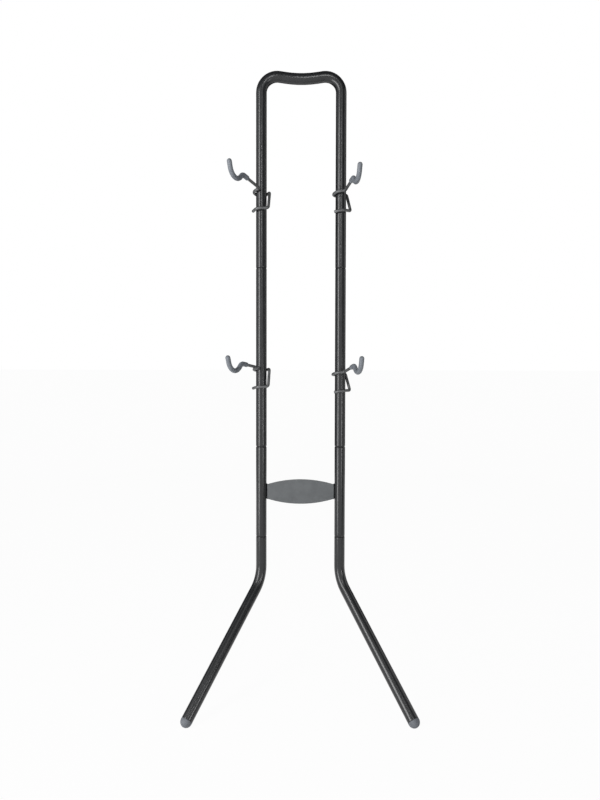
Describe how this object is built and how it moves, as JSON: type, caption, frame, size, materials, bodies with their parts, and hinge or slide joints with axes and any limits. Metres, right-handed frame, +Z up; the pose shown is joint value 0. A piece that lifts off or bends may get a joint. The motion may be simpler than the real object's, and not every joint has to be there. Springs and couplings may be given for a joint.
{
  "type": "gravity bike stand",
  "caption": "Stand of round steel tube that leans on a wall over splayed feet, with an oval tie plate and sliding wire hooks whose sleeved cradles hold bicycles by the top tube.",
  "frame": {"origin": "on the floor, under the middle of the whole stand, on its plane of symmetry", "axes": "+Z up, -Y to the front where the bicycles hang, +Y to the wall, +X to the right as seen from the front"},
  "size_m": [0.6954, 0.4647, 1.9948],
  "materials": {
    "powder_coat": "charcoal powder coat, semi-gloss",
    "bare_wire": "drawn steel wire, dull plated",
    "vinyl": "soft vinyl dip, satin grey",
    "rubber": "moulded rubber, matte grey",
    "plate_paint": "grey paint, satin",
    "zinc": "bright zinc plate"
  },
  "bodies": {
    "frame": {"top_tube": "powder_coat", "upper_left_tube": "powder_coat", "upper_right_tube": "powder_coat", "lower_left_tube": "powder_coat", "lower_right_tube": "powder_coat", "left_leg": "powder_coat", "right_leg": "powder_coat", "left_foot_cap": "rubber", "right_foot_cap": "rubber", "spreader_plate": "plate_paint", "plate_screw_left_top": "zinc", "plate_screw_left_bottom": "zinc", "plate_screw_right_top": "zinc", "plate_screw_right_bottom": "zinc"},
    "upper_left_hook": {"upper_left_arm": "bare_wire", "upper_left_sleeve": "vinyl"},
    "upper_right_hook": {"upper_right_arm": "bare_wire", "upper_right_sleeve": "vinyl"},
    "lower_left_hook": {"lower_left_arm": "bare_wire", "lower_left_sleeve": "vinyl"},
    "lower_right_hook": {"lower_right_arm": "bare_wire", "lower_right_sleeve": "vinyl"}
  },
  "joints": [
    {"name": "upper_left_slide", "type": "slide", "parent": "frame", "child": "upper_left_hook", "axis": [0, 0.0698, 0.9976], "range_m": [-0.23, 0.3]},
    {"name": "upper_right_slide", "type": "slide", "parent": "frame", "child": "upper_right_hook", "axis": [0, 0.0698, 0.9976], "range_m": [-0.23, 0.3]},
    {"name": "lower_left_slide", "type": "slide", "parent": "frame", "child": "lower_left_hook", "axis": [0, 0.0698, 0.9976], "range_m": [-0.3, 0.25]},
    {"name": "lower_right_slide", "type": "slide", "parent": "frame", "child": "lower_right_hook", "axis": [0, 0.0698, 0.9976], "range_m": [-0.3, 0.25]}
  ]
}
